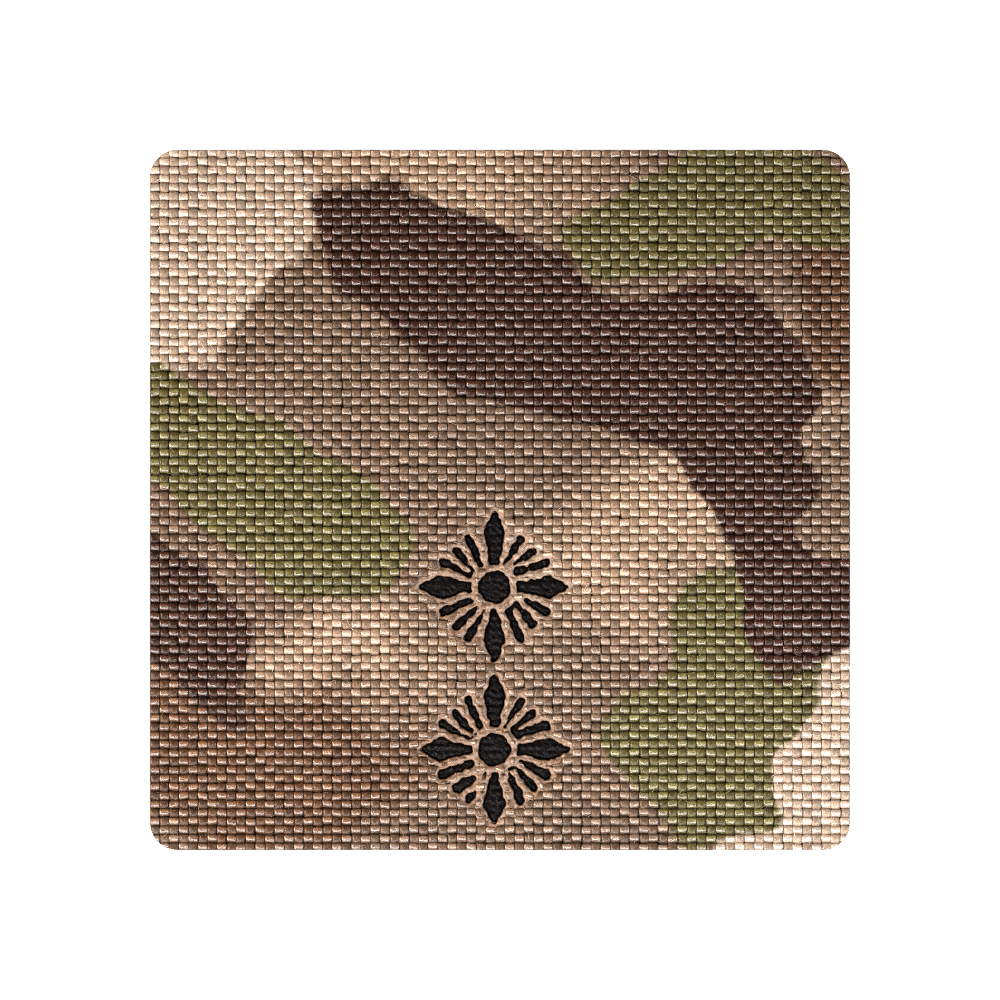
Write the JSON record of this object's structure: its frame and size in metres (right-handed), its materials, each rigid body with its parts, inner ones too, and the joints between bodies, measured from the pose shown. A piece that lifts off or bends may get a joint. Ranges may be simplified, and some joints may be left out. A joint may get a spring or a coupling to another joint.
{
  "type": "rank patch",
  "caption": "Square camouflage cloth rank patch with rounded corners, rayed stars cut through to a black ground, and a hook tape back.",
  "frame": {"origin": "middle of the patch's outline on the hook side that it lies on", "axes": "+X to the right of the printed face, +Y to its top edge, +Z out of the printed face"},
  "size_m": [0.05, 0.05, 0.0035],
  "materials": {
    "printed_cloth": "plain-woven nylon printed in tan, sand, brown, green and dark brown blots, melted smooth round the cuts",
    "black_cloth": "black plain-woven nylon, slightly glossy",
    "hook_tape": "black nylon hook tape"
  },
  "bodies": {
    "root": {"face_cloth": "printed_cloth", "ground_cloth": "black_cloth", "hook_backing": "hook_tape"}
  },
  "joints": []
}
